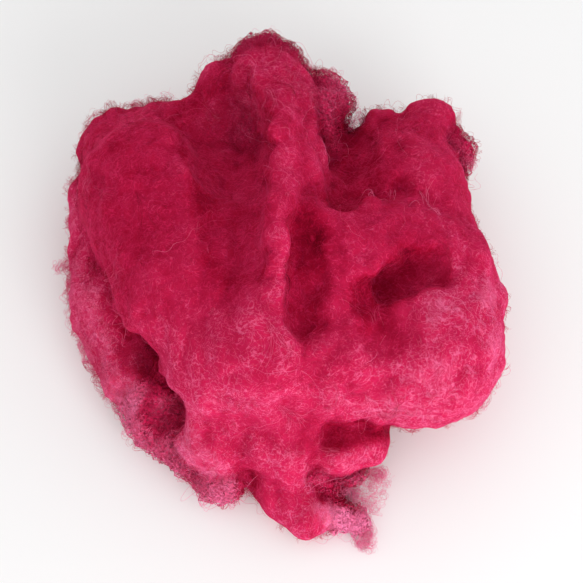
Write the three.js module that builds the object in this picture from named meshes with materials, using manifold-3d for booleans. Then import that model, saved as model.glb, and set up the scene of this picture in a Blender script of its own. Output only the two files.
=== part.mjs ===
// A wad of dyed, carded wool, before spinning: one light tangle of fibre, bunched up by hand and set down.
// It is one piece. Its puffs, gathers and creases flow into one another, so they are told here as two short
// tables of round-ended sausages: FOLDS add wool and CREASES take it away. Each one blends into the wool
// before it, and the skin of the result is one closed solid, cut flat where it rests.
// Millimetres, +Z up. The origin is the middle of the footprint, on the surface that the wad lies on.
// +X is to the right and +Y away from whoever looks at its front.

import * as THREE from "three";
import { MarchingCubes } from "three/addons/objects/MarchingCubes.js";
import { mergeVertices } from "three/addons/utils/BufferGeometryUtils.js";
import Module from "manifold-3d";

// Driving dimensions
const REACH = 112; // half of the cube that holds the whole wad
const CUBE_MIDDLE = new THREE.Vector3(-2, 12, 40);
const CELL = 4.6; // grid spacing that the skin is found on
const MOST_TRIANGLES = 40000; // room for the skin before it is trimmed
const LEAST_HEIGHT = 0.1; // keeps the skin clear of the grid's own points
const WELD = 1e-3; // corners this near to one another are one
const RIPPLE_HEIGHT = 1.1; // small unevenness of the skin
const RIPPLE_LENGTHS = [23, 31, 41]; // distances between ripples, one for each direction
const EVENINGS = 4; // rounds that even out the skin's triangles
const EVENING_SHARE = 0.5; // of the way to the middle of the neighbours, each round
const SLOPE_STEP = 0.5; // either side of a point, when its slope is worked out
const LEAST_SLOPE = 0.3; // keeps a corner from jumping where two folds meet
const TABLE_SIDE = 300; // of the block that trims the wad flat below
const TABLE_DEPTH = 60;
const WOOL_COLOUR = "#b51c49";
const WOOL_ROUGHNESS = 0.95;

// from and to are the middles of a fold's two ends, radius is its radius at each, and blend is how far away it
// starts to flow into the wool before it.
const FOLDS = [
  { name: "heart", from: [-22, 22, 30], to: [26, 6, 32], radius: [40, 38], blend: 1 },
  { name: "back", from: [-34, 62, 23], to: [28, 57, 21], radius: [25, 23], blend: 8 },
  { name: "left_back", from: [-65, 66, 28], to: [-38, 69, 30], radius: [21, 21], blend: 8 },
  { name: "left_puff", from: [-51, 42, 38], to: [-39, 0, 42], radius: [31, 26], blend: 10 },
  { name: "left_skirt", from: [-30, -4, 41], to: [-18, -25, 41], radius: [26, 24], blend: 10 },
  { name: "belly", from: [-20, -28, 38], to: [50, -26, 36], radius: [24, 25], blend: 9 },
  { name: "right_lobe", from: [54, -21, 34], to: [58, -4, 33], radius: [28.5, 26], blend: 9 },
  { name: "right_back", from: [48, 45, 32], to: [53, 20, 34], radius: [26, 23], blend: 9 },
  { name: "ear", from: [48, 56, 35], to: [59, 77, 33], radius: [17, 13], blend: 6 },
  { name: "ear_side", from: [58, 56, 32], to: [66, 67, 29], radius: [14, 12], blend: 5 },
  { name: "ear_bump", from: [34, 58, 34], to: [39, 74, 33], radius: [14, 11], blend: 5 },
  { name: "tuft", from: [-6, 68, 46], to: [-8, 93.2, 45], radius: [24, 18], blend: 8 },
  { name: "tuft_left", from: [-24, 72, 42], to: [-25, 90, 41], radius: [16, 14], blend: 5 },
  { name: "tuft_right", from: [7, 68, 46], to: [15, 86, 38], radius: [16, 13], blend: 5 },
  { name: "spine_back", from: [-7, 82, 53], to: [-4, 46, 65], radius: [13, 11], blend: 12 },
  { name: "spine_top", from: [-4, 46, 66], to: [-5, 8, 71], radius: [10, 10], blend: 12 },
  { name: "spine_front", from: [-5, 8, 71], to: [-6, -36, 58], radius: [10, 12], blend: 12 },
  { name: "spine_side", from: [5, 78, 51], to: [7, 34, 58], radius: [10, 9], blend: 7 },
  { name: "thumb", from: [17, 8, 63], to: [19, -34, 53], radius: [8, 11], blend: 6 },
  { name: "flap", from: [9, 16, 68], to: [29, 7, 62], radius: [7, 7], blend: 4 },
  { name: "lid", from: [34, 16, 53], to: [66, 10, 46], radius: [11, 11], blend: 7 },
  { name: "under_left", from: [-71, 48, 18], to: [-66, 3, 16], radius: [19.5, 20], blend: 4 },
  { name: "under_corner", from: [-66, 3, 16], to: [-58, -23, 14], radius: [20, 17], blend: 4 },
  { name: "under_front", from: [-47, -39, 14], to: [-24, -61, 9], radius: [16, 13], blend: 4 },
  { name: "pouch_left", from: [-24, -42, 25], to: [-26, -53, 21], radius: [15, 13], blend: 7 },
  { name: "pouch_right", from: [-2, -44, 26], to: [-1, -56, 22], radius: [16, 14], blend: 9 },
  { name: "front_band", from: [20, -55, 18], to: [31, -53, 17], radius: [12, 9.5], blend: 4 },
  { name: "front_lip", from: [8, -62, 12], to: [26, -61, 9], radius: [11, 7], blend: 4 },
  { name: "tail", from: [-2, -65, 9], to: [8, -78, 7], radius: [13, 10], blend: 4 },
  { name: "tail_end", from: [12, -76, 6], to: [26, -80, 4], radius: [8, 6], blend: 4 },
];

const CREASES = [
  { name: "left_valley", from: [-28, 68, 62], to: [-19, 44, 66], radius: [14.5, 13], blend: 10 },
  { name: "left_valley_front", from: [-19, 44, 68], to: [-16, -2, 76], radius: [11, 8], blend: 10 },
  { name: "trench", from: [6, 6, 72], to: [6, -24, 67], radius: [4.8, 3.5], blend: 9 },
  { name: "junction", from: [23, 34, 61], to: [22, 24, 64], radius: [6, 5], blend: 5 },
  { name: "branch", from: [28, 30, 60], to: [43, 36, 57], radius: [4, 2.5], blend: 5 },
  { name: "streak", from: [34, 41, 57.5], to: [42, 54, 58], radius: [3, 2.5], blend: 6 },
  { name: "ear_valley", from: [26, 66, 50], to: [27, 40, 58], radius: [6, 5], blend: 7 },
  { name: "cave", from: [38, -7, 58], to: [52, -1, 59], radius: [6.5, 6], blend: 7 },
  { name: "gully", from: [29, -12, 64], to: [35, -32, 62], radius: [2.5, 2], blend: 8 },
  { name: "hole_back", from: [-54, -22, 37], to: [-55, -23, 32], radius: [5, 4], blend: 9 },
  { name: "hole_front", from: [-45, -44, 32.5], to: [-46, -45, 27], radius: [5, 4.5], blend: 8 },
  { name: "band_slit", from: [18, -56, 31], to: [29, -54, 31], radius: [2.8, 2.4], blend: 5 },
];

const wasm = await Module();
wasm.setup();

// Distance from a point to a round-ended sausage whose radius grows evenly from one end to the other.
function distanceToSausage(point, { from, to, radius }) {
  const start = new THREE.Vector3(...from);
  const along = new THREE.Vector3(...to).sub(start);
  const out = point.clone().sub(start);
  const share = THREE.MathUtils.clamp(out.dot(along) / along.lengthSq(), 0, 1);
  const thickness = THREE.MathUtils.lerp(radius[0], radius[1], share);
  return out.addScaledVector(along, -share).length() - thickness;
}

// The smaller of two distances, rounded where they are within blend of each other.
function softMinimum(a, b, blend) {
  const overlap = Math.max(blend - Math.abs(a - b), 0) / blend;
  return Math.min(a, b) - (overlap * overlap * blend) / 4;
}

// Low unevenness: three crossed waves of different lengths.
function ripple({ x, y, z }) {
  const [across, deep, high] = RIPPLE_LENGTHS.map((length) => (2 * Math.PI) / length);
  const waves =
    Math.sin(x * across + 2 * Math.sin(y * deep)) +
    Math.sin(y * deep + 2 * Math.sin(z * high)) +
    Math.sin(z * high + 2 * Math.sin(x * across));
  return (waves * RIPPLE_HEIGHT) / 3;
}

// Height above the wool's skin: negative inside the wool, positive outside it.
function heightAboveSkin(point) {
  const [heart, ...rest] = FOLDS;
  let height = distanceToSausage(point, heart);
  for (const fold of rest) height = softMinimum(height, distanceToSausage(point, fold), fold.blend);
  for (const crease of CREASES) height = -softMinimum(-height, distanceToSausage(point, crease), crease.blend);
  return height + ripple(point);
}

// The direction in which the height above the skin grows, as long as it grows fast.
function outward(point) {
  const slope = new THREE.Vector3();
  for (const axis of ["x", "y", "z"]) {
    const ahead = point.clone();
    const behind = point.clone();
    ahead[axis] += SLOPE_STEP;
    behind[axis] -= SLOPE_STEP;
    slope[axis] = (heightAboveSkin(ahead) - heightAboveSkin(behind)) / (2 * SLOPE_STEP);
  }
  return slope;
}

// The skin as found on the grid, with its corners shared.
function roughSkin() {
  const steps = Math.ceil((2 * REACH) / CELL);
  const cubes = new MarchingCubes(steps, undefined, false, false, MOST_TRIANGLES);
  const onAxis = (step) => (step / cubes.halfsize - 1) * REACH;
  cubes.isolation = 0;
  for (let k = 0; k < steps; k++)
    for (let j = 0; j < steps; j++)
      for (let i = 0; i < steps; i++) {
        const point = new THREE.Vector3(onAxis(i), onAxis(j), onAxis(k)).add(CUBE_MIDDLE);
        const height = heightAboveSkin(point);
        const depth = -Math.sign(height) * Math.max(Math.abs(height), LEAST_HEIGHT);
        cubes.field[i + steps * (j + steps * k)] = depth;
      }
  cubes.update();
  const corners = cubes.positionArray.slice(0, cubes.count * 3);
  const skin = new THREE.BufferGeometry().setAttribute("position", new THREE.BufferAttribute(corners, 3));
  return mergeVertices(skin.scale(REACH, REACH, REACH).translate(...CUBE_MIDDLE), WELD);
}

// Slides the skin's corners towards the middle of their neighbours and back onto the wool, so that its
// triangles come out even.
function evenOut(skin) {
  const { position } = skin.attributes;
  const corners = skin.index.array;
  for (let round = 0; round < EVENINGS; round++) {
    const sums = Array.from({ length: position.count }, () => new THREE.Vector3());
    const neighbours = new Uint8Array(position.count);
    for (let i = 0; i < corners.length; i++) {
      const next = corners[i % 3 === 2 ? i - 2 : i + 1];
      sums[corners[i]].add(new THREE.Vector3().fromBufferAttribute(position, next));
      neighbours[corners[i]] += 1;
    }
    for (let i = 0; i < position.count; i++) {
      const point = new THREE.Vector3().fromBufferAttribute(position, i);
      point.lerp(sums[i].divideScalar(neighbours[i]), EVENING_SHARE);
      const slope = outward(point);
      point.addScaledVector(slope, -heightAboveSkin(point) / Math.max(slope.lengthSq(), LEAST_SLOPE));
      position.setXYZ(i, ...point);
    }
  }
  return skin;
}

function solidOf(geometry) {
  const bare = new THREE.BufferGeometry().setAttribute("position", geometry.attributes.position);
  const { attributes, index } = mergeVertices(bare.setIndex(geometry.index), WELD);
  const vertProperties = new Float32Array(attributes.position.array);
  const triVerts = new Uint32Array(index.array);
  return new wasm.Manifold(new wasm.Mesh({ numProp: 3, vertProperties, triVerts }));
}

function geometryOf(solid) {
  const { vertProperties, triVerts } = solid.getMesh();
  const geometry = new THREE.BufferGeometry();
  geometry.setAttribute("position", new THREE.BufferAttribute(vertProperties, 3));
  return geometry.setIndex(new THREE.BufferAttribute(triVerts, 1));
}

function woolWad() {
  const table = new THREE.BoxGeometry(TABLE_SIDE, TABLE_SIDE, TABLE_DEPTH).translate(0, 0, -TABLE_DEPTH / 2);
  const skin = geometryOf(solidOf(evenOut(roughSkin())).subtract(solidOf(table)));
  skin.computeBoundingBox();
  const middle = skin.boundingBox.getCenter(new THREE.Vector3());
  skin.translate(-middle.x, -middle.y, 0);
  const finish = new THREE.MeshStandardMaterial({ color: WOOL_COLOUR, roughness: WOOL_ROUGHNESS, metalness: 0 });
  const wad = new THREE.Mesh(skin, finish);
  wad.name = "wool_wad";
  return wad;
}

const part = new THREE.Group();
part.add(woolWad());
export default part;
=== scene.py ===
"""A wad of dyed, carded wool before spinning, lying on a pale table.

The wad is one soft lump of tangled fibre. Its skin is where a smooth sum of rounded folds, less its
creases, is level with the air. A felted body follows that skin, patches of see-through wool lie over it
where the wad is loosest, single fibres run over it and stand off it, and small wisps hang at its edges.

Sizes are in millimetres here, and every mesh is written in metres. +Z is up, +X to the right and +Y away
from whoever looks at the front. The origin is the middle of the footprint.
"""

import sys

import logging
import math
from dataclasses import dataclass
from enum import Enum

import bmesh
import bpy
import numpy as np
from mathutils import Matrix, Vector


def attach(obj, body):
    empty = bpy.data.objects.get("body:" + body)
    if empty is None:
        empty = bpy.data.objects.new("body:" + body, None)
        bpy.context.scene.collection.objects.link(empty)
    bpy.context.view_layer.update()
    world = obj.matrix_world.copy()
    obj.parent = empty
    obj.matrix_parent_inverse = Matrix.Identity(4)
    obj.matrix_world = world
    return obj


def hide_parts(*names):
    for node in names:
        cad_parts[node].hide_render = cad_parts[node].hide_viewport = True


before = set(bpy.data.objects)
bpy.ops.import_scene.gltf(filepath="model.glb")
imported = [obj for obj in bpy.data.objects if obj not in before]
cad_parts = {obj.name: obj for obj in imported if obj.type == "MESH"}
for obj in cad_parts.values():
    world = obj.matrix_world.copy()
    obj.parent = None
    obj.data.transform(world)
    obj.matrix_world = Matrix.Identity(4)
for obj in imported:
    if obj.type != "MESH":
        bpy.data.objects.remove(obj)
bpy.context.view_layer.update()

LOG = logging.getLogger("wool_wad")
MILLIMETRE = 0.001
# The tone value of each point: painted shade, darker deep in creases, and painted light where the wool is
# loose and open.
PAINTED_LIGHT_AND_AIRINESS = "painted_light_and_airiness"
GAPS = "gaps"
AXIS_DRIFT = 0.22


@dataclass(frozen=True)
class Sausage:
    """A round-ended sausage of wool or of air.

    Its ends are in millimetres, its radius is given at each end, and blend is how far away it starts to
    flow into the wool before it.
    """

    name: str
    start: tuple[float, float, float]
    end: tuple[float, float, float]
    radius: tuple[float, float]
    blend: float


FOLDS: tuple[Sausage, ...] = (
    Sausage("heart", (-22, 22, 30), (26, 6, 32), (40, 38), 1),
    Sausage("back", (-34, 62, 23), (28, 57, 21), (25, 23), 8),
    Sausage("left_back", (-65, 66, 28), (-38, 69, 30), (21, 21), 8),
    Sausage("left_puff", (-51, 42, 38), (-39, 0, 42), (31, 26), 10),
    Sausage("left_skirt", (-30, -4, 41), (-18, -25, 41), (26, 24), 10),
    Sausage("belly", (-20, -28, 38), (50, -26, 36), (24, 25), 9),
    Sausage("right_lobe", (54, -21, 34), (58, -4, 33), (28.5, 26), 9),
    Sausage("right_back", (48, 45, 32), (53, 20, 34), (26, 23), 9),
    Sausage("ear", (48, 56, 35), (59, 77, 33), (17, 13), 6),
    Sausage("ear_side", (58, 56, 32), (66, 67, 29), (14, 12), 5),
    Sausage("ear_bump", (34, 58, 34), (39, 74, 33), (14, 11), 5),
    Sausage("tuft", (-6, 68, 46), (-8, 93.2, 45), (24, 18), 8),
    Sausage("tuft_left", (-24, 72, 42), (-25, 90, 41), (16, 14), 5),
    Sausage("tuft_right", (7, 68, 46), (15, 86, 38), (16, 13), 5),
    Sausage("spine_back", (-7, 82, 53), (-4, 46, 65), (13, 11), 12),
    Sausage("spine_top", (-4, 46, 66), (-5, 8, 71), (10, 10), 12),
    Sausage("spine_front", (-5, 8, 71), (-6, -36, 58), (10, 12), 12),
    Sausage("spine_side", (5, 78, 51), (7, 34, 58), (10, 9), 7),
    Sausage("thumb", (17, 8, 63), (19, -34, 53), (8, 11), 6),
    Sausage("flap", (9, 16, 68), (29, 7, 62), (7, 7), 4),
    Sausage("lid", (34, 16, 53), (66, 10, 46), (11, 11), 7),
    Sausage("under_left", (-71, 48, 18), (-66, 3, 16), (19.5, 20), 4),
    Sausage("under_corner", (-66, 3, 16), (-58, -23, 14), (20, 17), 4),
    Sausage("under_front", (-47, -39, 14), (-24, -61, 9), (16, 13), 4),
    Sausage("pouch_left", (-24, -42, 25), (-26, -53, 21), (15, 13), 7),
    Sausage("pouch_right", (-2, -44, 26), (-1, -56, 22), (16, 14), 9),
    Sausage("front_band", (20, -55, 18), (31, -53, 17), (12, 9.5), 4),
    Sausage("front_lip", (8, -62, 12), (26, -61, 9), (11, 7), 4),
    Sausage("tail", (-2, -65, 9), (8, -78, 7), (13, 10), 4),
    Sausage("tail_end", (12, -76, 6), (26, -80, 4), (8, 6), 4),
)

CREASES: tuple[Sausage, ...] = (
    Sausage("left_valley", (-28, 68, 62), (-19, 44, 66), (14.5, 13), 10),
    Sausage("left_valley_front", (-19, 44, 68), (-16, -2, 76), (11, 8), 10),
    Sausage("trench", (6, 6, 72), (6, -24, 67), (4.8, 3.5), 9),
    Sausage("junction", (23, 34, 61), (22, 24, 64), (6, 5), 5),
    Sausage("branch", (28, 30, 60), (43, 36, 57), (4, 2.5), 5),
    Sausage("streak", (34, 41, 57.5), (42, 54, 58), (3, 2.5), 6),
    Sausage("ear_valley", (26, 66, 50), (27, 40, 58), (6, 5), 7),
    Sausage("cave", (38, -7, 58), (52, -1, 59), (6.5, 6), 7),
    Sausage("gully", (29, -12, 64), (35, -32, 62), (2.5, 2), 8),
    Sausage("hole_back", (-54, -22, 37), (-55, -23, 32), (5, 4), 9),
    Sausage("hole_front", (-45, -44, 32.5), (-46, -45, 27), (5, 4.5), 8),
    Sausage("band_slit", (18, -56, 31), (29, -54, 31), (2.8, 2.4), 5),
)

# How each fold is packed: how loosely, from 0 to 1, and how many millimetres deep its see-through wool is.
# The looseness sets only the tone: partly the paler tone of loose wool, and partly painted light, set higher
# on the folds at the front, which face the lamp, so that they are painted lighter and pinker.
PACKING_AND_PAINTED_LIGHT: dict[str, tuple[float, float]] = {
    "heart": (0.3, 0.4),
    "back": (0.3, 0.4),
    "left_back": (0.3, 1.4),
    "left_puff": (0.27, 0.4),
    "left_skirt": (0.44, 0.4),
    "belly": (0.52, 0.4),
    "right_lobe": (0.56, 0.4),
    "right_back": (0.33, 0.4),
    "ear": (0.33, 1.1),
    "ear_side": (0.4, 3.4),
    "ear_bump": (0.33, 1.2),
    "tuft": (0.42, 2.4),
    "tuft_left": (0.38, 1.6),
    "tuft_right": (0.55, 5.0),
    "spine_back": (0.37, 0.4),
    "spine_top": (0.36, 0.4),
    "spine_front": (0.44, 0.4),
    "spine_side": (0.4, 0.4),
    "thumb": (0.42, 0.4),
    "flap": (0.37, 0.4),
    "lid": (0.34, 0.4),
    "under_left": (0.5, 1.3),
    "under_corner": (0.6, 1.7),
    "under_front": (0.7, 2.6),
    "pouch_left": (0.55, 0.4),
    "pouch_right": (0.48, 0.4),
    "front_band": (0.52, 0.4),
    "front_lip": (0.64, 2.8),
    "tail": (0.46, 0.4),
    "tail_end": (1.0, 3.0),
}


@dataclass(frozen=True)
class Survey:
    """What the wool is like at each of a set of points.

    height is the distance above the skin, outward the direction away from the wool, lay the direction in
    which the nearest fold runs, and packing_and_painted_light how that fold is packed, as its looseness,
    which is partly painted light on the front folds, and the depth of its see-through wool.
    """

    height: np.ndarray
    outward: np.ndarray
    lay: np.ndarray
    packing_and_painted_light: np.ndarray


@dataclass(frozen=True)
class Fluff:
    """Small billows of the skin: the size of a set of crossed waves, whose zero lines are soft creases.

    height is how far the billows stand up, length is about how wide they are, and seed picks them. spread is
    the range of the waves' lengths, as shares of length, rounding softens the creases, and level is where
    the billows have their middle.
    """

    height: float
    length: float
    seed: int
    waves: int = 26
    spread: tuple[float, float] = (0.7, 1.3)
    rounding: float = 0.02
    level: float = 0.8

    def at(self, points: np.ndarray) -> np.ndarray:
        """Works out the billows as |sum of cosines of (random wave vector . point + random phase)|.

        Args:
            points: positions, one row each.

        Returns:
            How far the billows rise at each point, about their middle.
        """
        rng = np.random.default_rng(self.seed)
        vectors = rng.normal(size=(self.waves, 3))
        vectors *= (2 * math.pi / self.length) / np.linalg.norm(vectors, axis=1, keepdims=True)
        vectors *= rng.uniform(*self.spread, size=(self.waves, 1))
        phases = rng.uniform(0, 2 * math.pi, self.waves)
        total = np.cos(points @ vectors.T + phases).sum(axis=1) * math.sqrt(2 / self.waves)
        return self.height * (np.sqrt(total**2 + self.rounding) - self.level)


@dataclass(frozen=True)
class WoolField:
    """The wad's shape as one height above the skin, negative inside the wool.

    Folds are added with a soft minimum of their distances, creases are taken away with a soft maximum, and
    a low ripple and two sizes of billow lie on top. middle is the footprint's middle in the tables' frame.
    shortest is the least length that an outward direction is divided by, since it has none in the middle of
    a fold. reaches are how far out the painted shade of creases looks for open air, and least is the share
    of the painted light and airiness where nothing opens, its darkest painted shade. stride is the longest
    slide of a point at once.
    """

    middle: tuple[float, float, float] = (-3.31, 12.03, 0.0)
    ripple_height: float = 1.1
    ripple_lengths: tuple[float, float, float] = (23, 31, 41)
    fluff: tuple[Fluff, ...] = (Fluff(0.55, 17.0, 3), Fluff(0.22, 6.5, 4))
    shortest: float = 0.3
    reaches: tuple[float, float] = (6.0, 12.0)
    least: float = 0.2
    stride: float = 3.0

    def _ripple(self, points: np.ndarray) -> np.ndarray:
        """Adds three crossed waves, sin(x + 2 sin y) and its turns, one length for each direction.

        Args:
            points: positions in the tables' frame.

        Returns:
            How far the ripple rises at each.
        """
        x, y, z = (points * (2 * math.pi / np.array(self.ripple_lengths))).T
        waves = np.sin(x + 2 * np.sin(y)) + np.sin(y + 2 * np.sin(z)) + np.sin(z + 2 * np.sin(x))
        return self.ripple_height / 3 * waves

    @staticmethod
    def _distance(points: np.ndarray, part: Sausage) -> tuple[np.ndarray, np.ndarray, np.ndarray]:
        """Measures points from a sausage: length of (point - nearest point of its axis) - radius there.

        Args:
            points: positions, one row each.
            part: the sausage.

        Returns:
            The distances, the directions away from it, and the direction of its axis.
        """
        start = np.array(part.start, float)
        along = np.array(part.end, float) - start
        out = points - start
        share = np.clip(out @ along / (along @ along), 0, 1)
        out = out - share[:, None] * along
        length = np.maximum(np.linalg.norm(out, axis=1), 1e-6)
        thickness = part.radius[0] + (part.radius[1] - part.radius[0]) * share
        return length - thickness, out / length[:, None], along / np.linalg.norm(along)

    @staticmethod
    def _soften(a: np.ndarray, b: np.ndarray, blend: float) -> tuple[np.ndarray, np.ndarray]:
        """Takes the smaller of two distances, less overlap^2 x blend / 4 where they are within blend.

        Args:
            a: distances.
            b: distances.
            blend: how near they are where they start to flow together.

        Returns:
            The softened distances, and b's share in each.
        """
        overlap = np.maximum(blend - np.abs(a - b), 0) / blend
        return np.minimum(a, b) - overlap**2 * blend / 4, np.where(b < a, 1 - overlap / 2, overlap / 2)

    def survey(self, points: np.ndarray) -> Survey:
        """Works out the wool's height, outward direction and lay at points in the wad's own frame.

        Args:
            points: positions in millimetres, one row each.

        Returns:
            What the wool is like at each.
        """
        spots = points + np.array(self.middle)
        height, outward, axis = self._distance(spots, FOLDS[0])
        lay = np.tile(axis, (len(spots), 1))
        packing_and_painted_light = np.tile(np.array(PACKING_AND_PAINTED_LIGHT[FOLDS[0].name]), (len(spots), 1))
        for fold in FOLDS[1:]:
            distance, away, axis = self._distance(spots, fold)
            height, share = self._soften(height, distance, fold.blend)
            outward += share[:, None] * (away - outward)
            lay += share[:, None] * (axis - lay)
            packing_and_painted_light += share[:, None] * (np.array(PACKING_AND_PAINTED_LIGHT[fold.name]) - packing_and_painted_light)
        for crease in CREASES:
            distance, away, axis = self._distance(spots, crease)
            depth, share = self._soften(-height, distance, crease.blend)
            height = -depth
            outward -= share[:, None] * (away + outward)
            lay += share[:, None] * (axis - lay)
        height += self._ripple(spots) - sum(part.at(spots) for part in self.fluff)
        outward /= np.maximum(np.linalg.norm(outward, axis=1, keepdims=True), self.shortest)
        return Survey(height, outward, lay, packing_and_painted_light)

    def painted_light_and_airiness(self, points: np.ndarray) -> np.ndarray:
        """Says how thin and open the wool is at points on it, from 0 to 1.

        It is the looseness there x how far the air opens: the mean over two distances of the height found
        that far out from the point / that distance, which is 1 on a dome and near 0 deep in a crease. It
        sets the wool's tone as painted light and shade: the opening factor is painted shade, darker deep in
        creases and hollows, and the looseness is partly painted light, higher on the front folds that face
        the lamp.

        Args:
            points: positions in millimetres, one row each.

        Returns:
            One value for each point.
        """
        here = self.survey(points)
        openness_for_painted_shade = np.zeros(len(points))
        for reach in self.reaches:
            above = self.survey(points + here.outward * reach)
            openness_for_painted_shade += np.clip((above.height - here.height) / reach, 0, 1) / len(self.reaches)
        rest = 1 - self.least
        return (self.least + rest * here.packing_and_painted_light[:, 0]) * (self.least + rest * openness_for_painted_shade)

    def sink(self, points: np.ndarray, share: float, rounds: int) -> np.ndarray:
        """Slides points along the outward direction until they are at a share of the loose wool's depth.

        Args:
            points: positions in millimetres.
            share: 0 for the skin, 1 for the bottom of the loose wool.
            rounds: how often the slide is repeated.

        Returns:
            The moved points.
        """
        for _ in range(rounds):
            wool = self.survey(points)
            slide = np.clip(-share * wool.packing_and_painted_light[:, 1] - wool.height, -self.stride, self.stride)
            points = points + wool.outward * slide[:, None]
        return points


def unit(vectors: np.ndarray) -> np.ndarray:
    """Scales each row to length one."""
    return vectors / np.maximum(np.linalg.norm(vectors, axis=-1, keepdims=True), 1e-9)


def note(mesh: bpy.types.Mesh, name: str, values: np.ndarray) -> None:
    """Writes a value for each point on a mesh, for its finish to read by name."""
    mesh.attributes.new(name, "FLOAT", "POINT").data.foreach_set("value", values.astype(np.float32))


def put_mesh(name: str, points: np.ndarray, triangles: np.ndarray) -> bpy.types.Object:
    """Makes an object at the origin from points in millimetres and rows of three corners.

    Args:
        name: the piece's name.
        points: positions in millimetres, one row each.
        triangles: three point numbers a row, counter-clockwise from outside.

    Returns:
        The new object, shaded smooth.
    """
    mesh = bpy.data.meshes.new(name)
    mesh.vertices.add(len(points))
    mesh.vertices.foreach_set("co", (points * MILLIMETRE).astype(np.float32).ravel())
    mesh.loops.add(triangles.size)
    mesh.loops.foreach_set("vertex_index", triangles.astype(np.int32).ravel())
    mesh.polygons.add(len(triangles))
    mesh.polygons.foreach_set("loop_start", np.arange(0, triangles.size, 3, dtype=np.int32))
    mesh.polygons.foreach_set("use_smooth", np.ones(len(triangles), bool))
    mesh.update(calc_edges=True)
    piece = bpy.data.objects.new(name, mesh)
    bpy.context.scene.collection.objects.link(piece)
    return piece


def spin_tubes(
    paths: np.ndarray, thickness: float, airy_and_painted_light: np.ndarray
) -> tuple[np.ndarray, np.ndarray, np.ndarray]:
    """Carries a three-sided profile along many paths at once and closes each to a point at both ends.

    A ring's corners are path point + radius x (cos a x side + sin a x up), a = 0, 120 and 240 degrees. The
    radius is thickness / 2 along the fibre and shrinks as the fourth root of the distance to its ends. side
    starts across any direction other than forward, and is turned as little as it can be on the way.

    Args:
        paths: fibres x points x 3, in millimetres.
        thickness: of a fibre at its middle.
        airy_and_painted_light: the airiness, and with it the painted light and shade, of each point of each
            path.

    Returns:
        The corner positions, the triangles, and the airiness, which sets the painted light and shade, of
        each corner.
    """
    fibres, count, _ = paths.shape
    forward = unit(np.gradient(paths, axis=1))
    side = np.empty_like(paths)
    side[:, 0] = unit(np.cross(forward[:, 0], forward[:, 0][:, [1, 2, 0]] + 0.1))
    for k in range(1, count):
        last = side[:, k - 1]
        side[:, k] = unit(last - (last * forward[:, k]).sum(axis=1, keepdims=True) * forward[:, k])
    up = np.cross(forward, side)
    place = np.linspace(0, 1, count)[1:-1]
    radius = (thickness / 2 * (4 * place * (1 - place)) ** 0.25)[None, :, None, None]
    angle = np.arange(3) * 2 * math.pi / 3
    ring = np.cos(angle)[:, None] * side[:, 1:-1, None] + np.sin(angle)[:, None] * up[:, 1:-1, None]
    rings = paths[:, 1:-1, None] + radius * ring
    points = np.concatenate([rings.reshape(fibres, -1, 3), paths[:, :1], paths[:, -1:]], axis=1)
    values = np.concatenate([np.repeat(airy_and_painted_light[:, 1:-1], 3, axis=1), airy_and_painted_light[:, :1], airy_and_painted_light[:, -1:]], axis=1)
    first = np.arange(count - 3)[:, None] * 3 + np.arange(3)
    beside = np.arange(count - 3)[:, None] * 3 + (np.arange(3) + 1) % 3
    lower = np.stack([first, beside, beside + 3], -1)
    upper = np.stack([first, beside + 3, first + 3], -1)
    walls = np.stack([lower, upper])
    corner, turned = np.arange(3), (np.arange(3) + 1) % 3
    last_ring, tip = (count - 3) * 3, (count - 2) * 3
    root_cap = np.stack([turned, corner, np.full(3, tip)], -1)
    end_cap = np.stack([corner + last_ring, turned + last_ring, np.full(3, tip + 1)], -1)
    one = np.concatenate([walls.reshape(-1, 3), root_cap, end_cap])
    shift = np.arange(fibres)[:, None, None] * (tip + 2)
    return points.reshape(-1, 3), (one + shift).reshape(-1, 3), values.ravel()


def srgb(code: str, alpha: float = 1.0) -> tuple[float, float, float, float]:
    """Turns an sRGB hex colour into linear values.

    A part c turns into c / 12.92 up to 0.04045, and into ((c + 0.055) / 1.055) ^ 2.4 above.

    Args:
        code: the colour as # and six digits.
        alpha: the fourth value.

    Returns:
        Linear red, green and blue, and alpha.
    """
    parts = [int(code[i : i + 2], 16) / 255 for i in (1, 3, 5)]
    linear = [c / 12.92 if c <= 0.04045 else ((c + 0.055) / 1.055) ** 2.4 for c in parts]
    return (*linear, alpha)


def add_node(
    tree: bpy.types.NodeTree, kind: str, settings: dict[str, object] | None = None, **links: object
) -> bpy.types.Node:
    """Adds a node with its settings and links.

    Args:
        tree: the node tree.
        kind: the node's type name.
        settings: attribute values of the node.
        links: input names, with _ for a space, or _ and an input's number, and what each gets: an output
            socket or a value.

    Returns:
        The node.
    """
    node = tree.nodes.new(kind)
    for key, value in (settings or {}).items():
        setattr(node, key, value)
    for key, value in links.items():
        name = key.replace("_", " ")
        found = node.inputs[int(key[1:])] if key[1:].isdigit() else node.inputs[name]
        if isinstance(value, bpy.types.NodeSocket):
            tree.links.new(value, found)
        else:
            found.default_value = value
    return node


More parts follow.
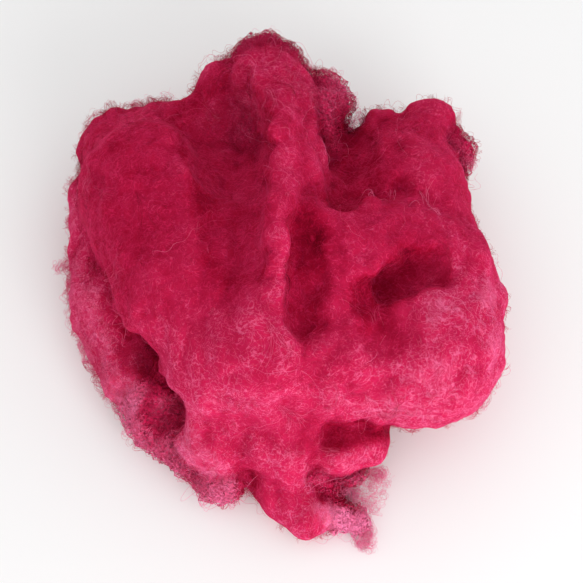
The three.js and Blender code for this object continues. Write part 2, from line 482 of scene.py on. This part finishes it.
@dataclass(frozen=True)
class DyedWoolWithPaintedLight:
    """The dye: the same colour in every fibre, which looks deep crimson where wool lies on wool.

    The colour is painted light and shade. The deep crimson is painted shade where wool lies on wool and deep
    in creases, and the pink is painted light where the wool is thin and open, as if light came through it.
    Each tone goes with an airiness, and a finish reads the airiness from its piece.
    """

    # Tones from painted shade, a dark crimson, to painted light, a pale pink.
    dye_and_painted_light_tones: tuple[tuple[float, str], ...] = (
        (0.0, "#4a000c"),
        (0.3, "#97052a"),
        (0.6, "#c41f50"),
        (1.0, "#f67dab"),
    )

    def tone(
        self, tree: bpy.types.NodeTree, painted_light_lift: float, variation: bpy.types.NodeSocket
    ) -> bpy.types.NodeSocket:
        """Turns a piece's airiness, lifted and varied, into its colour.

        Args:
            tree: the material's nodes.
            painted_light_lift: added to the airiness everywhere, as painted light that makes a piece
                lighter.
            variation: added to it from place to place.

        Returns:
            The colour's output socket.
        """
        # Painted light and shade: low airiness gives the dark crimson of painted shade, high airiness the
        # pink of painted light.
        source = {"attribute_name": PAINTED_LIGHT_AND_AIRINESS, "attribute_type": "GEOMETRY"}
        airy_and_painted_light = add_node(tree, "ShaderNodeAttribute", source)
        lifted = add_node(tree, "ShaderNodeMath", {"operation": "ADD"}, _0=airy_and_painted_light.outputs["Fac"], _1=painted_light_lift)
        varied = add_node(tree, "ShaderNodeMath", {"operation": "ADD"}, _0=lifted.outputs[0], _1=variation)
        ramp = add_node(tree, "ShaderNodeValToRGB", Fac=varied.outputs[0])
        stops = ramp.color_ramp.elements
        while len(stops) < len(self.dye_and_painted_light_tones):
            stops.new(0.5)
        for stop, (place, code) in zip(stops, self.dye_and_painted_light_tones):
            stop.position = place
            stop.color = srgb(code)
        return ramp.outputs["Color"]


@dataclass(frozen=True)
class CardedWool(DyedWoolWithPaintedLight):
    """Dyed, carded sheep's wool, felted a little by handling.

    Fine crimped fibres lie every way in thin layers, which gives the eye a matt, cloudy surface. Real fibres
    are 0.03 to 0.04 mm thick, too fine to show, so the pattern draws them about 0.4 mm wide. They follow
    the lines on which a soft noise passes through its middle, which curl and cross as crimped wool does.

    cloud, tuft and grain are the sizes of three noises in millimetres and how much each varies the tone.
    line_tone is how much lighter a drawn fibre is, line_relief how far it stands up among the noises, and
    relief the height of the bump in millimetres.
    """

    name: str = "carded_wool"
    curl_sizes: tuple[float, float, float] = (7.0, 5.0, 3.5)
    line_width: float = 0.02
    cloud: tuple[float, float] = (16.0, 0.3)
    tuft: tuple[float, float] = (4.0, 0.15)
    grain: tuple[float, float] = (0.9, 0.25)
    line_tone: float = 0.2
    line_relief: float = 0.35
    relief: float = 0.9

    def fibres(self, tree: bpy.types.NodeTree, where: bpy.types.NodeSocket) -> bpy.types.NodeSocket:
        """Draws the curled lines: 1 - |noise - 0.5| / width where that is above 0, the most of all sizes.

        Args:
            tree: the material's nodes.
            where: the pattern's coordinates.

        Returns:
            The socket with 0 between fibres and up to 1 on them.
        """
        total = None
        for turn, size in enumerate(self.curl_sizes):
            moved = add_node(tree, "ShaderNodeMapping", Vector=where, Location=(0.3 * turn, 0.1 * turn, 0.0))
            noise = add_node(
                tree,
                "ShaderNodeTexNoise",
                Vector=moved.outputs[0],
                Scale=1 / (size * MILLIMETRE),
                Detail=3.0,
                Roughness=0.45,
                Distortion=1.2,
            )
            value = noise.outputs["Fac"]
            off = add_node(tree, "ShaderNodeMath", {"operation": "SUBTRACT"}, _0=value, _1=0.5)
            distance = add_node(tree, "ShaderNodeMath", {"operation": "ABSOLUTE"}, _0=off.outputs[0])
            line = add_node(
                tree,
                "ShaderNodeMapRange",
                Value=distance.outputs[0],
                From_Min=0.0,
                From_Max=self.line_width,
                To_Min=1.0,
                To_Max=0.0,
            ).outputs[0]
            if total is None:
                total = line
            else:
                most = add_node(tree, "ShaderNodeMath", {"operation": "MAXIMUM"}, _0=total, _1=line)
                total = most.outputs[0]
        return total

    def make(self) -> bpy.types.Material:
        """Builds the material on Object coordinates: clouds of tone, tufts, grain and curled fibres.

        Returns:
            The material.
        """
        material = bpy.data.materials.new(self.name)
        material.use_nodes = True
        tree = material.node_tree
        shader = tree.nodes["Principled BSDF"]
        where = add_node(tree, "ShaderNodeTexCoord").outputs["Object"]
        lines = self.fibres(tree, where)
        variation = None
        scaled = {"operation": "MULTIPLY_ADD"}
        for size, weight in (self.cloud, self.tuft, self.grain):
            scale = 1 / (size * MILLIMETRE)
            noise = add_node(
                tree, "ShaderNodeTexNoise", Vector=where, Scale=scale, Detail=3.0, Roughness=0.6
            )
            value = noise.outputs["Fac"]
            part = add_node(tree, "ShaderNodeMath", scaled, _0=value, _1=weight, _2=-weight / 2).outputs[0]
            if variation is None:
                variation = part
            else:
                total = add_node(tree, "ShaderNodeMath", {"operation": "ADD"}, _0=variation, _1=part)
                variation = total.outputs[0]
        lit = add_node(tree, "ShaderNodeMath", scaled, _0=lines, _1=self.line_tone, _2=variation)
        # Base colour: the painted light and shade of the airiness, varied by the noises and the fibre lines.
        tree.links.new(self.tone(tree, 0.0, lit.outputs[0]), shader.inputs["Base Color"])
        raised = add_node(tree, "ShaderNodeMath", scaled, _0=lines, _1=self.line_relief, _2=variation)
        height = self.relief * MILLIMETRE
        bump = add_node(tree, "ShaderNodeBump", Height=raised.outputs[0], Strength=0.6, Distance=height)
        tree.links.new(bump.outputs[0], shader.inputs["Normal"])
        shader.inputs["Roughness"].default_value = 0.95
        shader.inputs["IOR"].default_value = 1.55
        shader.inputs["Specular IOR Level"].default_value = 0.04
        shader.inputs["Subsurface Weight"].default_value = 0.5
        shader.inputs["Subsurface Radius"].default_value = (1.0, 0.12, 0.22)
        shader.inputs["Subsurface Scale"].default_value = 0.005
        shader.inputs["Sheen Weight"].default_value = 0.3
        shader.inputs["Sheen Roughness"].default_value = 0.25
        shader.inputs["Sheen Tint"].default_value = srgb("#ff5a92")
        return material


@dataclass(frozen=True)
class LooseWool(CardedWool):
    """The loose outer wool, where tangled fibres leave small gaps that the eye sees through.

    Real gaps are a few tenths of a millimetre wide, too fine to show, so the noise that opens them is drawn
    0.9 mm across. cover is the share that stays closed, about, where the wool is firm and where it is
    loosest. edge is the range of that noise in which wool turns to gap.
    """

    cover: tuple[float, float] = (0.0, 0.5)
    gap: float = 0.9
    edge: tuple[float, float] = (0.47, 0.53)

    def make(self) -> bpy.types.Material:
        """Builds the carded wool, with gaps where a fine noise + (cover - 0.5) / 2 is below its middle.

        Returns:
            The material.
        """
        material = CardedWool.make(self)
        tree = material.node_tree
        shader = tree.nodes["Principled BSDF"]
        shader.inputs["Subsurface Weight"].default_value = 0.0
        where = add_node(tree, "ShaderNodeTexCoord").outputs["Object"]
        scale = 1 / (self.gap * MILLIMETRE)
        noise = add_node(tree, "ShaderNodeTexNoise", Vector=where, Scale=scale, Detail=2.0, Distortion=1.5)
        loose = add_node(tree, "ShaderNodeAttribute", {"attribute_name": GAPS}).outputs["Fac"]
        firmest, loosest = (0.5 * (cover - 0.5) for cover in self.cover)
        shift = add_node(tree, "ShaderNodeMapRange", Value=loose, To_Min=firmest, To_Max=loosest).outputs[0]
        level = add_node(tree, "ShaderNodeMath", {"operation": "ADD"}, _0=noise.outputs["Fac"], _1=shift)
        start, end = self.edge
        closed = add_node(tree, "ShaderNodeMapRange", Value=level.outputs[0], From_Min=start, From_Max=end)
        tree.links.new(closed.outputs[0], shader.inputs["Alpha"])
        return material


@dataclass(frozen=True)
class WoolFibre(DyedWoolWithPaintedLight):
    """Single dyed wool fibres that stand clear of the rest.

    A lone fibre is painted pinker and lighter than the wad, as painted light for the light that passes into
    it from all sides. Its scales keep it nearly matt. painted_light_lift is how much lighter it is painted,
    and patch the size in millimetres and the strength of the change of tone along it.
    """

    name: str = "wool_fibre"
    painted_light_lift: float = 0.06
    patch: tuple[float, float] = (3.0, 0.5)

    def make(self) -> bpy.types.Material:
        """Builds the material on Object coordinates: the piece's tone, with a slow change along a fibre.

        Returns:
            The material.
        """
        material = bpy.data.materials.new(self.name)
        material.use_nodes = True
        tree = material.node_tree
        shader = tree.nodes["Principled BSDF"]
        where = add_node(tree, "ShaderNodeTexCoord").outputs["Object"]
        size, weight = self.patch
        noise = add_node(tree, "ShaderNodeTexNoise", Vector=where, Scale=1 / (size * MILLIMETRE), Detail=2.0)
        scaled, value = {"operation": "MULTIPLY_ADD"}, noise.outputs["Fac"]
        part = add_node(tree, "ShaderNodeMath", scaled, _0=value, _1=weight, _2=-weight / 2)
        # Base colour: the airiness, lifted as painted light, with a slow random change along a fibre.
        tree.links.new(self.tone(tree, self.painted_light_lift, part.outputs[0]), shader.inputs["Base Color"])
        shader.inputs["Roughness"].default_value = 0.7
        shader.inputs["IOR"].default_value = 1.55
        shader.inputs["Specular IOR Level"].default_value = 0.04
        return material


@dataclass(frozen=True)
class WadShell:
    """A skin of the wad: its closed felted body, or patches of see-through wool where the wad is loosest.

    share is how deep the skin lies in the loose wool, from 0 at the outside to 1 at the body, and voxel how
    far apart its points are in millimetres. Where the loose wool is firm_depth deep the skin starts to be
    loose, fade_depth more and it is as loose as it gets, and rough is how it is tousled there. Fibres are
    rooted at least clearance above the table, and scatter off their places.
    """

    wool: WoolField
    name: str = "wad_body"
    share: float = 1.0
    voxel: float = 1.5
    rough: Fluff = Fluff(0.8, 4.0, 51)
    rounds: int = 4
    firm_depth: float = 1.3
    fade_depth: float = 1.2
    clearance: float = 0.6
    scatter: float = 0.5

    def build(self, node: bpy.types.Object) -> bpy.types.Object:
        """Remeshes a copy of the solid evenly and settles it at its depth.

        Args:
            node: the solid, which is only copied.

        Returns:
            The skin, flat where it rests.
        """
        copy = bpy.data.objects.new("wad_copy", node.data.copy())
        bpy.context.scene.collection.objects.link(copy)
        weld = copy.modifiers.new("weld", "WELD")
        weld.merge_threshold = 1e-6
        remesh = copy.modifiers.new("even", "REMESH")
        remesh.mode = "VOXEL"
        remesh.voxel_size = self.voxel * MILLIMETRE
        evaluated = copy.evaluated_get(bpy.context.evaluated_depsgraph_get())
        mesh = bpy.data.meshes.new_from_object(evaluated)
        bpy.data.objects.remove(copy)
        flat = np.empty(len(mesh.vertices) * 3, np.float32)
        mesh.vertices.foreach_get("co", flat)
        points = flat.reshape(-1, 3).astype(float) / MILLIMETRE
        points = self.wool.sink(points, self.share, self.rounds)
        wool = self.wool.survey(points)
        loose = np.clip((wool.packing_and_painted_light[:, 1] - self.firm_depth) / self.fade_depth, 0, 1)
        # The skin's tone as painted light and shade: darker deep in creases, lighter on loose, open front
        # folds.
        note(mesh, PAINTED_LIGHT_AND_AIRINESS, self.wool.painted_light_and_airiness(points))
        note(mesh, GAPS, loose)
        points = points + wool.outward * (loose * self.rough.at(points))[:, None]
        points[:, 2] = np.maximum(points[:, 2], 0)
        mesh.vertices.foreach_set("co", (points * MILLIMETRE).astype(np.float32).ravel())
        mesh.polygons.foreach_set("use_smooth", np.ones(len(mesh.polygons), bool))
        if self.share < 1:
            self.drop_firm(mesh, loose)
        mesh.name = self.name
        mesh.update()
        skin = bpy.data.objects.new(self.name, mesh)
        bpy.context.scene.collection.objects.link(skin)
        LOG.info("%s: %d points, %d faces", self.name, len(mesh.vertices), len(mesh.polygons))
        return skin

    @staticmethod
    def drop_firm(mesh: bpy.types.Mesh, loose: np.ndarray) -> None:
        """Takes a see-through skin away where the wool is firm, since it is all gaps there.

        Args:
            mesh: the skin.
            loose: how loose the wool is at each of its points, 0 where it is firm.
        """
        shape = bmesh.new()
        shape.from_mesh(mesh)
        shape.verts.ensure_lookup_table()
        firm = [shape.verts[k] for k in np.flatnonzero(loose <= 0)]
        bmesh.ops.delete(shape, geom=firm, context="VERTS")
        shape.to_mesh(mesh)
        shape.free()

    def seats(
        self, body: bpy.types.Object, count: int, focus: float, rng: np.random.Generator
    ) -> np.ndarray:
        """Picks places on the body above where it rests, by area x (depth of loose wool there) ^ focus.

        Args:
            body: the finished body.
            count: how many places.
            focus: 0 for evenly, more to keep to the loosest wool.
            rng: the source of chance.

        Returns:
            Positions in millimetres.
        """
        mesh = body.data
        middles = np.empty(len(mesh.polygons) * 3, np.float32)
        mesh.polygons.foreach_get("center", middles)
        areas = np.empty(len(mesh.polygons), np.float32)
        mesh.polygons.foreach_get("area", areas)
        middles = middles.reshape(-1, 3).astype(float) / MILLIMETRE
        weight = areas * (middles[:, 2] > self.clearance) * self.wool.survey(middles).packing_and_painted_light[:, 1] ** focus
        picked = rng.choice(len(middles), size=count, p=weight / weight.sum())
        return middles[picked] + rng.normal(scale=self.scatter, size=(count, 3))


def wander(
    at: np.ndarray,
    heading: np.ndarray,
    axis: np.ndarray,
    pull: np.ndarray,
    turn: tuple[float, float],
    rng: np.random.Generator,
) -> tuple[np.ndarray, np.ndarray, np.ndarray]:
    """Moves the tips of growing fibres one step on.

    The heading turns about an axis that drifts a little: heading + crimp x (axis across heading) + pull,
    scaled to length one.

    Args:
        at: where the tips are.
        heading: which way they go.
        axis: what they turn about.
        pull: what draws them aside.
        turn: the crimp in radians a step, and the step's length.
        rng: the source of chance.

    Returns:
        The new places, headings and axes.
    """
    crimp, step = turn
    axis = unit(axis + rng.normal(scale=AXIS_DRIFT, size=axis.shape))
    heading = unit(heading + crimp * np.cross(axis, heading) + pull)
    return at + heading * step, heading, axis


class Rise(Enum):
    """How a fibre's height above the body changes along its length."""

    MATTED = "matted"
    FUZZ = "fuzz"
    STRAY = "stray"

    def level(self, share: float) -> float:
        """Gives the height at a share of the length, as a share of the fibre's reach.

        Args:
            share: 0 at the root and 1 at the tip.

        Returns:
            sin(pi s) where it is matted, s where it is fuzz, and |sin(1.7 pi s)| where it strays.
        """
        if self is Rise.MATTED:
            return math.sin(math.pi * share)
        if self is Rise.FUZZ:
            return share
        return abs(math.sin(1.7 * math.pi * share))


@dataclass(frozen=True)
class FibreLayer:
    """Locks of crimped fibres that grow from the body and keep near the skin, higher in some patches.

    A lock is a few fibres that start side by side and part on the way. step is the distance between a
    fibre's points, crimp how far it turns at each in radians, scatter how far locks turn from the lay of
    their fold, reach the range of heights above the skin that they are drawn up to, and thickness a fibre's
    drawn thickness. Real fibres are 0.03 to 0.04 mm thick, and are drawn two to five times as thick so
    that they show.

    spread is how far a lock's fibres start apart, parting how differently they head, and lean how far out.
    tone is how much locks differ in tone, focus how far they keep to the loosest wool, and patches where
    they reach higher, within patch_range. root_depth is how far in a fibre starts, pull how strongly it is
    drawn to its height and how strongly at most, and lowest the least height above the table.
    """

    name: str
    rise: Rise
    locks: int
    in_lock: int
    points: int
    step: float
    crimp: float
    scatter: float
    reach: tuple[float, float]
    thickness: float
    seed: int
    spread: float = 0.5
    tone: float = 0.1
    focus: float = 1.0
    patches: Fluff = Fluff(1.0, 7.0, 31)
    patch_range: tuple[float, float] = (0.2, 2.0)
    parting: float = 0.2
    lean: float = 0.3
    root_depth: float = 0.3
    pull: tuple[float, float] = (0.6, 0.9)
    lowest: float = 0.1

    def build(self, wool: WoolField, body: WadShell, skin: bpy.types.Object) -> bpy.types.Object:
        """Grows the fibres: each wanders on by steps, and is drawn to the height that it has there.

        Args:
            wool: the wad's shape.
            body: where fibres can be rooted.
            skin: the finished body.

        Returns:
            One piece with all the fibres of the layer.
        """
        rng = np.random.default_rng(self.seed)
        root = body.seats(skin, self.locks, self.focus, rng)
        roots = wool.survey(root)
        patch = np.clip(self.patches.at(root) / self.patches.height + self.patches.level, *self.patch_range)
        low, high = self.reach
        reach = low + (high - low) * patch * rng.uniform(0, 1, self.locks) ** 2
        along = unit(roots.lay) * rng.choice([-1, 1], self.locks)[:, None]
        aside = self.scatter * unit(rng.normal(size=(self.locks, 3)))
        heading = unit(along + aside + self.lean * roots.outward)
        axis = unit(rng.normal(size=(self.locks, 3)))
        tone = rng.normal(scale=self.tone, size=self.locks)
        at, reach, heading, axis, tone = (
            np.repeat(part, self.in_lock, axis=0) for part in (root, reach, heading, axis, tone)
        )
        at = at + rng.normal(scale=self.spread, size=at.shape)
        heading = unit(heading + rng.normal(scale=self.parting, size=at.shape))
        path = np.empty((len(at), self.points, 3))
        for k in range(self.points):
            here = wool.survey(at)
            depth = here.packing_and_painted_light[:, 1]
            wanted = (reach + depth) * self.rise.level((k + 1) / self.points) - depth
            if k == 0:
                at = at - here.outward * (here.height + depth + self.root_depth)[:, None]
            path[:, k] = at
            strength, most = self.pull
            pull = here.outward * np.clip((wanted - here.height) * strength, -most, most)[:, None]
            at, heading, axis = wander(at, heading, axis, pull, (self.crimp, self.step), rng)
        path[..., 2] = np.maximum(path[..., 2], self.lowest)
        # Each fibre's tone: the airiness as painted light and shade, plus a random tone for its lock.
        airy_and_painted_light = wool.painted_light_and_airiness(path.reshape(-1, 3)).reshape(path.shape[:2]) + tone[:, None]
        points, triangles, values = spin_tubes(path, self.thickness, airy_and_painted_light)
        piece = put_mesh(self.name, points, triangles)
        note(piece.data, PAINTED_LIGHT_AND_AIRINESS, values)
        LOG.info("%s: %d fibres, %d triangles", self.name, len(at), len(triangles))
        return piece


@dataclass(frozen=True)
class Wisp:
    """A see-through wisp: locks of crimped fibre that wander about inside a round-ended cloud.

    start and end are the middles of the cloud's ends in the wad's tables, radius is its radius at each, and
    locks is how many locks it has.
    """

    start: tuple[float, float, float]
    end: tuple[float, float, float]
    radius: tuple[float, float]
    locks: int


@dataclass(frozen=True)
class WispLayer:
    """All the wisps at the wad's edges, as one piece.

    Each lock is a few fibres side by side, spread by about its width, that part from each other on the way.
    slack is the share of a cloud's radius in which they are left alone, and parting, lowest and the rest are
    as for a layer of fibres.
    """

    name: str = "wisps"
    points: int = 16
    step: float = 0.8
    crimp: float = 0.5
    in_lock: int = 9
    lock_width: float = 0.7
    thickness: float = 0.08
    seed: int = 71
    parting: float = 0.3
    slack: float = 0.7
    lowest: float = 0.15
    # Painted light: the wisps get a high airiness, so they are painted pale pink, as if light came through
    # them.
    airy_and_painted_light: float = 0.85
    wisps: tuple[Wisp, ...] = (
        Wisp((8, 96, 40), (20, 92, 38), (8, 8), 22),
        Wisp((20, 90, 38), (27, 76, 36), (9, 8), 40),
        Wisp((68, 72, 30), (72, 56, 32), (8, 7), 22),
        Wisp((22, -66, 9), (34, -74, 5), (8, 7), 34),
        Wisp((26, -80, 4), (31, -88, 3), (6, 5), 20),
        Wisp((30, -62, 9), (38, -64, 7), (5, 4), 14),
        Wisp((-26, -66, 6), (-15, -70, 5), (6, 5), 12),
        Wisp((-74, -16, 14), (-68, -28, 12), (6, 6), 10),
        Wisp((-88, 20, 17), (-92, 22, 16), (4, 3), 5),
        Wisp((-64, 88, 30), (-50, 92, 31), (5, 5), 8),
    )

    def build(self, wool: WoolField) -> bpy.types.Object:
        """Grows each fibre by steps, drawn back where it leaves its cloud.

        Args:
            wool: the wad's shape, for its frame.

        Returns:
            One piece with all the wisps.
        """
        rng = np.random.default_rng(self.seed)
        rows = np.repeat(np.arange(len(self.wisps)), [wisp.locks for wisp in self.wisps])
        start = np.array([wisp.start for wisp in self.wisps], float)[rows] - wool.middle
        end = np.array([wisp.end for wisp in self.wisps], float)[rows] - wool.middle
        radii = np.array([wisp.radius for wisp in self.wisps], float)[rows]
        locks = len(rows)
        share = rng.uniform(0, 1, locks)
        middle = start + share[:, None] * (end - start)
        size = radii[:, 0] + share * (radii[:, 1] - radii[:, 0])
        away = unit(rng.normal(size=(locks, 3)))
        at = middle + away * (size * np.sqrt(rng.uniform(0, 1, locks)))[:, None]
        heading, axis = unit(rng.normal(size=(locks, 3))), unit(rng.normal(size=(locks, 3)))
        middle, size, at, heading, axis = (
            np.repeat(part, self.in_lock, axis=0) for part in (middle, size, at, heading, axis)
        )
        at = at + rng.normal(scale=self.lock_width, size=at.shape)
        heading = unit(heading + rng.normal(scale=self.parting, size=at.shape))
        path = np.empty((len(at), self.points, 3))
        for k in range(self.points):
            path[:, k] = at
            back = (middle - at) / size[:, None]
            strength = np.maximum(np.linalg.norm(back, axis=1, keepdims=True) - self.slack, 0)
            at, heading, axis = wander(at, heading, axis, strength * back, (self.crimp, self.step), rng)
        path[..., 2] = np.maximum(path[..., 2], self.lowest)
        points, triangles, values = spin_tubes(path, self.thickness, np.full(path.shape[:2], self.airy_and_painted_light))
        piece = put_mesh(self.name, points, triangles)
        note(piece.data, PAINTED_LIGHT_AND_AIRINESS, values)
        LOG.info("%s: %d fibres, %d triangles", self.name, len(at), len(triangles))
        return piece


@dataclass(frozen=True)
class Veil:
    """A see-through skin of loose wool: its depth as a share, and its cover where it is firm and loosest."""

    name: str
    share: float
    cover: tuple[float, float]


@dataclass(frozen=True)
class WoolWad:
    """The whole wad: its body, the loose wool and the fibres on it, and the wisps at its edges.

    fill, how firmly the body is filled, is not used. veil_voxel is how far apart a veil's points are in
    millimetres, and stray_painted_light_lift how much airier the long stray fibres look.
    """

    wool: WoolField = WoolField()
    fill: float = 0.25
    veil_voxel: float = 1.9
    # Painted light: the stray fibres are painted lighter, as if lit through from all sides.
    stray_painted_light_lift: float = 0.24
    veils: tuple[Veil, ...] = (
        Veil("inner_loose_wool", 0.5, (0.0, 0.65)),
        Veil("outer_loose_wool", -0.05, (0.0, 0.5)),
    )
    layers: tuple[FibreLayer, ...] = (
        FibreLayer("matted_locks", Rise.MATTED, 180, 8, 18, 1.2, 0.16, 0.5, (0.2, 1.0), 0.1, 11, tone=0.16),
        FibreLayer("fuzz_a", Rise.FUZZ, 1200, 6, 6, 0.85, 0.6, 1.2, (0.2, 2.4), 0.085, 21),
        FibreLayer("fuzz_b", Rise.FUZZ, 1200, 6, 6, 0.85, 0.6, 1.2, (0.2, 2.4), 0.085, 22),
        FibreLayer(
            "fringe", Rise.FUZZ, 1250, 6, 6, 0.7, 0.8, 2.0, (0.1, 1.5), 0.15, seed=47, spread=0.7, focus=4.0
        ),
        FibreLayer("stray_fibres", Rise.STRAY, 150, 1, 40, 1.2, 0.13, 0.8, (0.4, 2.8), 0.11, 14),
    )

    def build(self) -> list[bpy.types.Object]:
        """Builds every piece and dresses it.

        Returns:
            The pieces.
        """
        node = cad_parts["wool_wad"]
        maker = WadShell(self.wool)
        body = maker.build(node)
        body.data.materials.clear()
        body.data.materials.append(CardedWool().make())
        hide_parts("wool_wad")
        near = WoolFibre().make()
        stray = WoolFibre(name="stray_wool_fibre", painted_light_lift=self.stray_painted_light_lift).make()
        pieces = [body]
        for veil in self.veils:
            piece = WadShell(self.wool, veil.name, veil.share, self.veil_voxel).build(node)
            piece.data.materials.clear()
            piece.data.materials.append(LooseWool(name=veil.name, cover=veil.cover).make())
            pieces.append(piece)
        for layer in self.layers:
            piece = layer.build(self.wool, maker, body)
            piece.data.materials.append(stray if layer.rise is Rise.STRAY else near)
            pieces.append(piece)
        wisps = WispLayer().build(self.wool)
        wisps.data.materials.append(near)
        pieces.append(wisps)
        for piece in pieces:
            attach(piece, "root")
        return pieces


@dataclass(frozen=True)
class Studio:
    """The pale table, the soft light, the white surroundings and the camera.

    Places and sizes are in millimetres, the lens too. elevation is in degrees, and power in watts.
    """

    aim: tuple[float, float, float] = (5.81, -12.03, 38.0)
    elevation: float = 65.0
    distance: float = 431.0
    lens: float = 70.0
    sensor: float = 36.0
    table_side: float = 8000.0
    light_at: tuple[float, float, float] = (420.0, -820.0, 330.0)
    light_side: float = 600.0
    power: float = 5.7
    surroundings: float = 0.9

    def table(self) -> None:
        """Lays a plain, nearly white table under the wad."""
        half = self.table_side / 2
        corners = np.array([(-half, -half, 0), (half, -half, 0), (half, half, 0), (-half, half, 0)], float)
        top = put_mesh("table_top", corners, np.array([(0, 1, 2), (0, 2, 3)]))
        material = bpy.data.materials.new("matt_white_laminate")
        material.use_nodes = True
        shader = material.node_tree.nodes["Principled BSDF"]
        shader.inputs["Base Color"].default_value = srgb("#f4f4f4")
        shader.inputs["Roughness"].default_value = 0.9
        top.data.materials.append(material)

    def light(self) -> None:
        """Hangs a square soft light in front that faces the wad."""
        lamp = bpy.data.lights.new("front_light", "AREA")
        lamp.size = self.light_side * MILLIMETRE
        lamp.energy = self.power
        holder = bpy.data.objects.new("front_light", lamp)
        bpy.context.scene.collection.objects.link(holder)
        holder.location = Vector(self.light_at) * MILLIMETRE
        facing = Vector(self.aim) * MILLIMETRE - holder.location
        holder.rotation_euler = facing.to_track_quat("-Z", "Y").to_euler()

    def camera(self) -> None:
        """Sets the camera where the photograph was taken from."""
        tilt = math.radians(self.elevation)
        back = Vector((0, -math.cos(tilt), math.sin(tilt)))
        data = bpy.data.cameras.new("camera")
        data.lens = self.lens
        data.sensor_width = self.sensor
        data.clip_start = 0.01
        data.clip_end = 20.0
        holder = bpy.data.objects.new("camera", data)
        bpy.context.scene.collection.objects.link(holder)
        holder.location = (Vector(self.aim) + back * self.distance) * MILLIMETRE
        holder.rotation_euler = (-back).to_track_quat("-Z", "Y").to_euler()
        bpy.context.scene.camera = holder

    def build(self) -> None:
        """Sets up the table, the light, the white surroundings and the camera."""
        self.table()
        self.light()
        world = bpy.data.worlds.new("white_room")
        bpy.context.scene.world = world
        world.use_nodes = True
        backdrop = world.node_tree.nodes["Background"]
        backdrop.inputs["Color"].default_value = srgb("#ffffff")
        backdrop.inputs["Strength"].default_value = self.surroundings
        bpy.context.scene.view_settings.view_transform = "Standard"
        self.camera()


def main() -> None:
    """Builds the wad and the studio."""
    logging.basicConfig(level=logging.INFO, format="%(name)s %(message)s", stream=sys.stdout)
    pieces = WoolWad().build()
    Studio().build()
    LOG.info("%d pieces", len(pieces))


if __name__ == "__main__":
    main()
